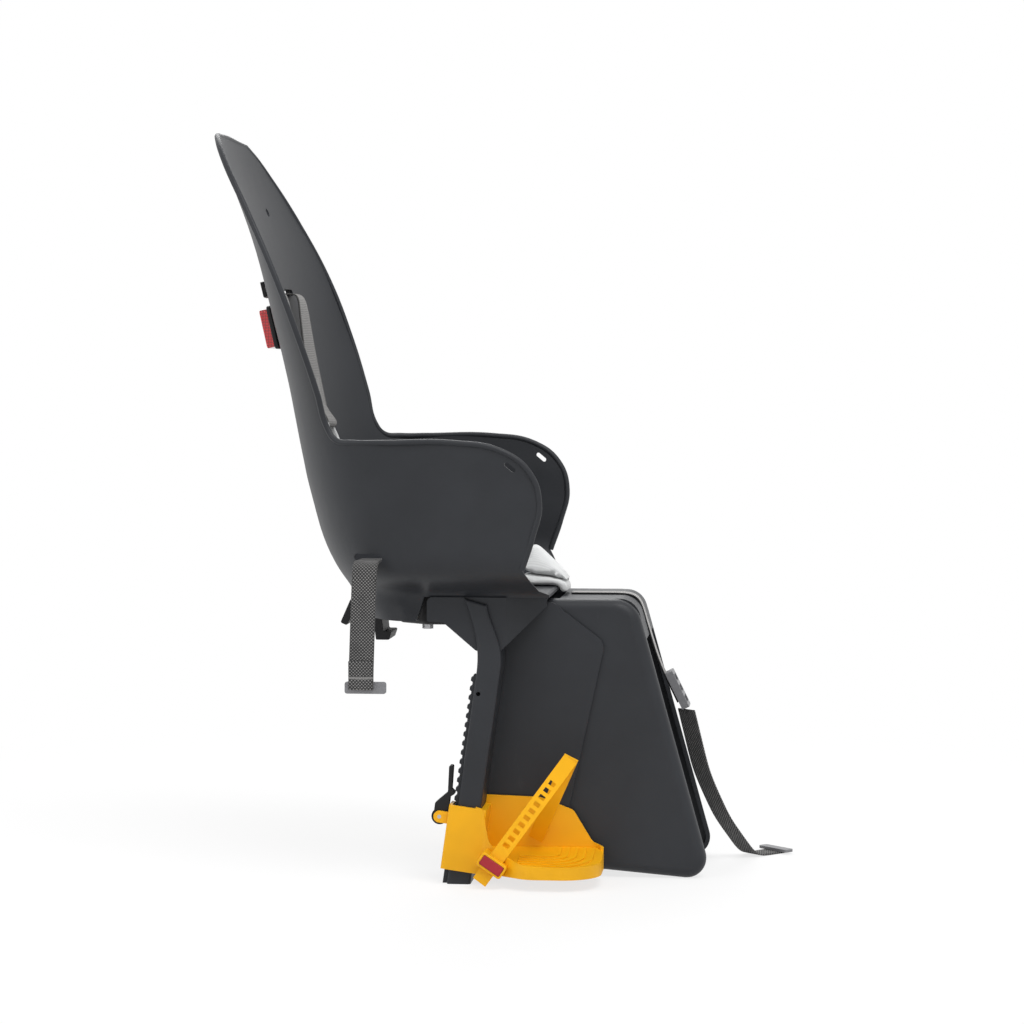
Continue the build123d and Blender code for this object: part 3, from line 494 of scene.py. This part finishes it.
def bead_mesh(name, path, radius):
    """A round bead that follows a path, as a mesh."""
    curve = bpy.data.curves.new(name, "CURVE")
    curve.dimensions = "3D"
    curve.bevel_depth = radius
    curve.bevel_resolution = 3
    curve.use_fill_caps = True
    line = curve.splines.new("BEZIER")
    line.bezier_points.add(len(path) - 1)
    for point, place in zip(line.bezier_points, path):
        point.co = Vector(place) * MM
        point.handle_left_type = point.handle_right_type = "AUTO"
    line.resolution_u = 10
    guide = placed(name, curve)
    mesh = settled(guide)
    bpy.data.objects.remove(guide)
    return mesh


def swollen(mesh, floor):
    """Swell a closed mesh as pressed cloth, each point held within the cap and above floor."""
    scene = bpy.context.scene
    obj = placed("swell", mesh)
    even = obj.modifiers.new("even", "REMESH")
    even.mode = "VOXEL"
    even.voxel_size = PAD_CELL
    start = settled(obj)
    obj.modifiers.clear()
    obj.data = start
    cloth = obj.modifiers.new("cloth", "CLOTH").settings
    cloth.use_pressure = True
    cloth.uniform_pressure_force = PAD_PRESSURE
    cloth.effector_weights.gravity = 0
    for step in range(1, PAD_FRAMES + 1):
        scene.frame_set(step)
    grown = settled(obj)
    bpy.data.objects.remove(obj)
    scene.frame_set(1)
    cap = sizes().pad_swell
    for vert, before in zip(grown.vertices, start.vertices):
        shift = vert.co - before.co
        if shift.length > cap:
            vert.co = before.co + shift.normalized() * cap
        vert.co.z = max(vert.co.z, floor(vert.co.x))
    return grown


class SEAT_OT_stage(bpy.types.Operator):
    """Lay the pale floor, hang the soft lights and set the camera"""

    bl_idname = "seat.stage"
    bl_label = "Stage"

    def paper(self, name):
        """Pale matt paper that the camera sees white, a little less so round the seat."""
        finish = Finish(name)
        finish.set(Base_Color=rgba(colours().floor), Roughness=0.9, Specular_IOR_Level=0.1)
        glow = finish.node("Emission", None, {"Color": WHITE, "Strength": 1.0})
        reach = finish.node("VectorMath", {"operation": "LENGTH"}, (finish.place(),), "Value")
        share = reach.between(FLOOR_NEAR, FLOOR_FAR) * (1 - FLOOR_SHARE) + FLOOR_SHARE
        return finish.cover(finish.seen() * share, glow).owner

    def surround(self, name):
        """A world that lights the seat with one strength and looks white in itself."""
        finish = Finish(name, "worlds").set(Color=WHITE, Strength=WORLD_STRENGTH)
        white = finish.node("Background", None, {"Color": WHITE, "Strength": 1.0})
        return finish.cover(finish.seen(), white).owner

    def faced(self, name, data, place, direction):
        """A lamp or a camera at a place, facing a direction."""
        obj = placed(name, data)
        obj.location = place
        obj.rotation_euler = Vector(direction).to_track_quat("-Z", "Y").to_euler()
        return obj

    def execute(self, context):
        shape = bmesh.new()
        bmesh.ops.create_grid(shape, x_segments=1, y_segments=1, size=FLOOR_HALF)
        floor = placed("floor", mesh_of(shape, "floor"))
        floor.data.materials.append(self.paper("pale_floor"))
        context.scene.world = self.surround("studio")

        for name, place, aim, size, power in LAMPS:
            lamp = bpy.data.lights.new(name, "AREA")
            lamp.size = size
            lamp.energy = power
            self.faced(name, lamp, place, Vector(aim) - Vector(place))

        lens = bpy.data.cameras.new("camera")
        lens.lens = CAMERA_LENS
        lens.sensor_width = CAMERA_SENSOR
        lens.clip_end = CAMERA_REACH
        context.scene.camera = self.faced("camera", lens, CAMERA_PLACE, CAMERA_DIRECTION)
        context.scene.view_settings.view_transform = "Standard"
        return {"FINISHED"}


class SEAT_OT_mouldings(bpy.types.Operator):
    """Finish the bucket and the leg guards, and roll the bead round the bucket's rim"""

    bl_idname = "seat.mouldings"
    bl_label = "Bucket and leg guards"

    def execute(self, context):
        grey = moulded(
            "moulded_grey", colours().shell, gloss=0.46, grain=1500, relief=0.12 * MM, scuffs=0.36
        )
        dress(grey, "seat_shell", *both("leg_guard"))
        right = [
            (30, -168, 324), (41, -173, 357), (48, -175, 391), (38, -176.5, 422),
            (10, -178, 443), (-36, -178.4, 451), (-110, -178.4, 451), (-140, -174, 451),
            (-157, -166.5, 453), (-167, -162, 465), (-177, -166, 501), (-197, -174, 563),
            (-221, -172.5, 625), (-252, -151.5, 688), (-277, -124.5, 733), (-294, -83, 763),
            (-299, -45, 768),
        ]
        path = right + [(x, -y, z) for x, y, z in reversed(right)]
        mesh = bead_mesh("rim", path, sizes().bead_radius)
        piece("rim_bead", mesh, grey, "seat", "shell")
        return {"FINISHED"}


class SEAT_OT_mounting(bpy.types.Operator):
    """Finish the base, the latch, the levers and the fasteners"""

    bl_idname = "seat.mounting"
    bl_label = "Base, latch and screws"

    def execute(self, context):
        black = moulded(
            "moulded_black", colours().black, gloss=0.5, grain=1700, relief=0.1 * MM, scuffs=0.08
        )
        steel = plated("plated_steel", colours().steel)
        dress(black, "mounting_base", "mount_latch", "reflector_housing")
        dress(black, *both("latch_lever", "shoulder_anchor"))
        dress(steel, "latch_pin", "base_screws", "guard_screws", *both("lever_pin"))
        return {"FINISHED"}


class SEAT_OT_reflector(bpy.types.Operator):
    """Finish the rear reflector's lens"""

    bl_idname = "seat.reflector"
    bl_label = "Reflector"

    def execute(self, context):
        dress(prism_lens("red_prisms", colours().lens), "reflector_lens")
        return {"FINISHED"}


class SEAT_OT_footrests(bpy.types.Operator):
    """Finish the footrests, their straps and release buttons"""

    bl_idname = "seat.footrests"
    bl_label = "Footrests"

    def execute(self, context):
        yellow = moulded(
            "moulded_amber", colours().footrest, gloss=0.4, grain=1500, relief=0.08 * MM,
            scuffs=0.05,
        )
        red = moulded(
            "moulded_red", colours().button, gloss=0.42, grain=1800, relief=0.06 * MM, scuffs=0.05
        )
        dress(yellow, *both("footrest", "foot_strap"))
        dress(red, *both("release_button"))
        return {"FINISHED"}


class SEAT_OT_shoulder_straps(bpy.types.Operator):
    """Thread the shoulder straps through the backrest to their rings"""

    bl_idname = "seat.shoulder_straps"
    bl_label = "Shoulder straps"

    def execute(self, context):
        light = colours().light_webbing
        webbing = ribbed_webbing("ribbed_webbing", light, shade(light, 0.35))
        ring = moulded(
            "pale_plastic", colours().ring, gloss=0.36, grain=1600, relief=0.05 * MM
        )
        dress(ring, *both("strap_ring"))
        from_middle = 54
        twist = radians(-24)
        route = [
            (-250.8, 606.2), (-242.4, 606.2), (-235.9, 606.1), (-232, 603), (-229.8, 596),
            (-228, 584), (-224.6, 560), (-221.8, 540), (-214.4, 503), (-209, 476),
            (-208.2, 468), (-206.6, 463.8), (-202.8, 462.4), (-199, 464), (-197.5, 468),
            (-200, 473), (-205.8, 481), (-210, 492), (-213, 508), (-214.4, 515),
        ]
        for side, sign in SIDES:
            path = [(x, sign * from_middle, z) for x, z in route]
            strap(
                f"{side}_shoulder_webbing", path, (0, sign, 0), webbing, "light_webbing",
                f"{side}_shoulder_strap", twist,
            )
        return {"FINISHED"}


class SEAT_OT_waist_straps(bpy.types.Operator):
    """Hang the right waist strap out of its slot and lay the left one on the pan"""

    bl_idname = "seat.waist_straps"
    bl_label = "Waist straps"

    def execute(self, context):
        dot = shade(colours().light_webbing, 0.95)
        webbing = dotted_webbing("dotted_webbing", colours().dark_webbing, dot, stitched=0.8)
        grey = moulded(
            "grey_fittings", colours().fitting, gloss=0.4, grain=1600, relief=0.05 * MM
        )
        dress(grey, "strap_buckle", "tail_end_plate", *both("waist_end_plate"))
        slot_middle = -127
        hung = [
            (-131, -180.4, 232), (-131, -180.4, 224), (-131, -180.4, 212), (-131, -180.2, 205),
            (-131, -179.4, 203.4), (-131, -178.5, 205), (-131, -178.4, 212),
            (-130.8, -178.4, 225), (-129.6, -178.6, 260), (-128.2, -179.1, 295),
            (-127.4, -179.6, 314), (-127, -179.3, 321), (-127, -177, 326.5),
            (-127, -172, 330), (-127, -164, 330.8), (-127, -150, 330.8), (-127, -134, 330.8),
            (-127, -118, 330.8),
        ]
        laid = [
            (20, 298.1), (28, 298.1), (40, 298.1), (55, 298.2), (63, 299), (72, 301.4),
            (87, 309.6), (104, 318.9), (122, 325.2), (140, 330.2), (150, 330.8), (165, 330.8),
        ]
        strap(
            "right_waist_webbing", hung, (1, 0, 0), webbing, "dark_webbing",
            "right_waist_strap",
        )
        strap(
            "left_waist_webbing", [(slot_middle, y, z) for y, z in laid], (1, 0, 0), webbing,
            "dark_webbing", "left_waist_strap",
        )
        return {"FINISHED"}


class SEAT_OT_front_strap(bpy.types.Operator):
    """Lay the front strap over the guards, through its buckle and down to the floor"""

    bl_idname = "seat.front_strap"
    bl_label = "Front strap"

    def execute(self, context):
        light = colours().light_webbing
        webbing = ribbed_webbing("edged_webbing", shade(light, 1.7), colours().webbing_edge)
        dotted = dotted_webbing(
            "tail_webbing", colours().dark_webbing, shade(light, 0.95), stitched=0.0
        )
        route = [
            (67.6, 289.2), (84, 289.2), (104, 289.2), (120, 289.2), (130, 288.4), (137, 285),
            (141.6, 278), (145, 266), (149.8, 250), (155.4, 231.5), (161.9, 212.5),
            (170.6, 194.6), (180.2, 174.8),
        ]
        strap(
            "front_webbing", [(x, 0, z) for x, z in route], (0, 1, 0), webbing, "light_webbing",
            "crotch_strap",
        )
        buckle_end = 188
        turn = radians(45)
        hang = [
            (0.8, 166), (6, 150), (11.5, 133), (17, 116), (22.8, 99.8), (31, 84), (40, 68.6),
            (52.4, 48), (64, 34.4), (76, 21), (86, 10), (93, 4.4), (100, 1.8), (108, 1.1),
            (120, 1.1), (136.2, 1.1),
        ]
        path = [(buckle_end + s * cos(turn), s * sin(turn), z) for s, z in hang]
        strap(
            "tail_webbing", path, (sin(turn), -cos(turn), 0), dotted, "dark_webbing",
            "strap_tail",
        )
        return {"FINISHED"}


class SEAT_OT_crotch_pad(bpy.types.Operator):
    """Lay the crotch pad over the front of the seat, with its flap folded back on top"""

    bl_idname = "seat.crotch_pad"
    bl_label = "Crotch pad"

    def layer(self, outline, spread):
        """A closed block from an outline in side view, its points spread sideways by shares."""
        half = sizes().pad_width / 2
        shape = bmesh.new()
        ring = [
            shape.verts.new((x * MM, -half * share, z * MM))
            for (x, z), share in zip(outline, spread)
        ]
        face = shape.faces.new(ring)
        grown = bmesh.ops.extrude_face_region(shape, geom=[face])["geom"]
        for part in grown:
            if isinstance(part, bmesh.types.BMVert):
                part.co.y = -part.co.y
        bmesh.ops.recalc_face_normals(shape, faces=shape.faces)
        return mesh_of(shape, "layer")

    def execute(self, context):
        cloth = padded_cloth("pad_cloth", colours().pad)
        under = self.layer(
            [(16, 299), (16, 309.5), (46, 305.5), (63.5, 302.5), (65, 291), (57, 291), (54, 299)],
            [0.96, 1, 1, 0.9, 0.9, 0.92, 0.96],
        )
        flap = self.layer(
            [(16, 313.5), (24.5, 340), (31, 339.5), (65, 303.5), (47, 308.5)],
            [1, 0.45, 0.4, 0.85, 1],
        )
        under = swollen(under, lambda x: PAN_TOP if x < PAN_FRONT else DECK_TOP)
        flap = swollen(flap, lambda x: FLAP_LOW)
        pad = piece("crotch_pad_cloth", under, cloth, "seat", "pad", "crotch_pad")
        cover = piece("crotch_pad_flap", flap, cloth, "seat", "pad")
        for part in (pad, cover):
            soft = part.modifiers.new("soft", "SUBSURF")
            soft.levels = soft.render_levels = 1
        return {"FINISHED"}


OPERATORS = (
    SEAT_OT_stage,
    SEAT_OT_mouldings,
    SEAT_OT_mounting,
    SEAT_OT_reflector,
    SEAT_OT_footrests,
    SEAT_OT_shoulder_straps,
    SEAT_OT_waist_straps,
    SEAT_OT_front_strap,
    SEAT_OT_crotch_pad,
)


class SEAT_PT_panel(bpy.types.Panel):
    """Lists the steps that dress the seat, with its sizes and colours"""

    bl_idname = "SEAT_PT_panel"
    bl_label = "Child seat"
    bl_space_type = "VIEW_3D"
    bl_region_type = "UI"
    bl_category = "Child seat"

    def draw(self, context):
        for operator in OPERATORS:
            self.layout.operator(operator.bl_idname)
        for group in (context.scene.seat_sizes, context.scene.seat_colours):
            column = self.layout.column()
            for name in group.bl_rna.properties.keys():
                if name not in ("rna_type", "name"):
                    column.prop(group, name)


CLASSES = (SeatColours, SeatSizes, *OPERATORS, SEAT_PT_panel)


def register():
    for cls in CLASSES:
        bpy.utils.register_class(cls)
    bpy.types.Scene.seat_colours = bpy.props.PointerProperty(type=SeatColours)
    bpy.types.Scene.seat_sizes = bpy.props.PointerProperty(type=SeatSizes)


def unregister():
    del bpy.types.Scene.seat_sizes
    del bpy.types.Scene.seat_colours
    for cls in reversed(CLASSES):
        bpy.utils.unregister_class(cls)


def main():
    register()
    for operator in OPERATORS:
        family, name = operator.bl_idname.split(".")
        getattr(getattr(bpy.ops, family), name)()


if __name__ == "__main__":
    main()
